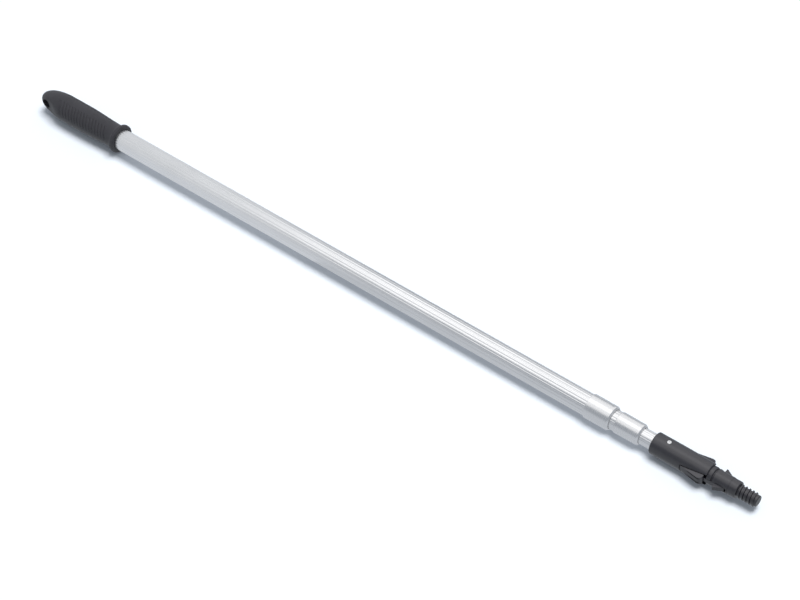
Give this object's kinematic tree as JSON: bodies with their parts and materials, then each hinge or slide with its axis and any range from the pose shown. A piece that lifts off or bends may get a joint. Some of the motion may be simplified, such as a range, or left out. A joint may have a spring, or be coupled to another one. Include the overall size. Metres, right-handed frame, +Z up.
{
  "type": "roller extension pole",
  "caption": "Telescopic twist-lock extension pole of fluted tubes, with a ribbed grip with a hang hole and a coarse threaded head with sprung latch levers.",
  "frame": {"origin": "on the floor, below the middle of the closed pole", "axes": "+X along the pole from the grip to the threaded head, +Z up, the latch levers on +Y and -Y"},
  "size_m": [1.276, 0.0444, 0.0444],
  "materials": {
    "tube_aluminium": "satin anodised, lengthwise drawing lines",
    "collar_aluminium": "smooth satin anodised",
    "grip_rubber": "matt soft moulding with fine ribs",
    "head_plastic": "moulded, low sheen",
    "rivet_steel": "bright plated, turned head",
    "steel": "plain",
    "bush_nylon": "plain",
    "lock_plastic": "plain",
    "plug_plastic": "plain"
  },
  "bodies": {
    "outer_section": {"outer_tube": "tube_aluminium", "grip": "grip_rubber", "rear_plug": "plug_plastic", "outer_collar": "collar_aluminium", "outer_guide_bush": "bush_nylon"},
    "middle_lock": {"middle_lock_expander": "lock_plastic"},
    "middle_lock_nut": {"middle_lock_cone": "lock_plastic"},
    "middle_section": {"middle_tube": "tube_aluminium", "middle_collar": "collar_aluminium", "middle_guide_bush": "bush_nylon", "middle_lock_plug": "plug_plastic", "middle_lock_spindle": "steel", "middle_lock_clip": "steel"},
    "inner_lock": {"inner_lock_expander": "lock_plastic"},
    "inner_lock_nut": {"inner_lock_cone": "lock_plastic"},
    "inner_section": {"inner_tube": "tube_aluminium", "head_connector": "head_plastic", "head_sleeve": "head_plastic", "latch_pin": "rivet_steel", "latch_spring": "steel", "inner_lock_plug": "plug_plastic", "inner_lock_spindle": "steel", "inner_lock_clip": "steel"},
    "left_lever": {"latch_lever_left": "head_plastic"},
    "right_lever": {"latch_lever_right": "head_plastic"}
  },
  "joints": [
    {"name": "middle_slide", "type": "slide", "parent": "outer_section", "child": "middle_lock", "axis": [1, 0, 0], "range_m": [-0.0077, 0.86]},
    {"name": "middle_twist", "type": "hinge", "parent": "middle_lock", "child": "middle_section", "pos_m": [-0.538, 0, 0.0222], "axis": [1, 0, 0], "range_deg": [0, 180]},
    {"name": "middle_nut_travel", "type": "slide", "parent": "middle_lock", "child": "middle_lock_nut", "axis": [-1, 0, 0], "range_m": [0, 0.0025]},
    {"name": "inner_slide", "type": "slide", "parent": "middle_section", "child": "inner_lock", "axis": [1, 0, 0], "range_m": [-0.018, 0.83]},
    {"name": "inner_twist", "type": "hinge", "parent": "inner_lock", "child": "inner_section", "pos_m": [-0.438, 0, 0.0222], "axis": [1, 0, 0], "range_deg": [0, 180]},
    {"name": "inner_nut_travel", "type": "slide", "parent": "inner_lock", "child": "inner_lock_nut", "axis": [-1, 0, 0], "range_m": [0, 0.0025]},
    {"name": "left_lever_press", "type": "hinge", "parent": "inner_section", "child": "left_lever", "pos_m": [0.5013, 0, 0.0222], "axis": [0, 0, -1], "range_deg": [0, 4.2], "stiffness_Nm_per_rad": 6, "springref_deg": -3.44},
    {"name": "right_lever_press", "type": "hinge", "parent": "inner_section", "child": "right_lever", "pos_m": [0.5013, 0, 0.0222], "axis": [0, 0, 1], "range_deg": [0, 4.2], "stiffness_Nm_per_rad": 6, "springref_deg": -3.44}
  ],
  "couplings": [
    {"joint": "middle_nut_travel", "follows": "middle_twist", "m_per_rad": 0.00063662},
    {"joint": "inner_nut_travel", "follows": "inner_twist", "m_per_rad": 0.00063662}
  ]
}
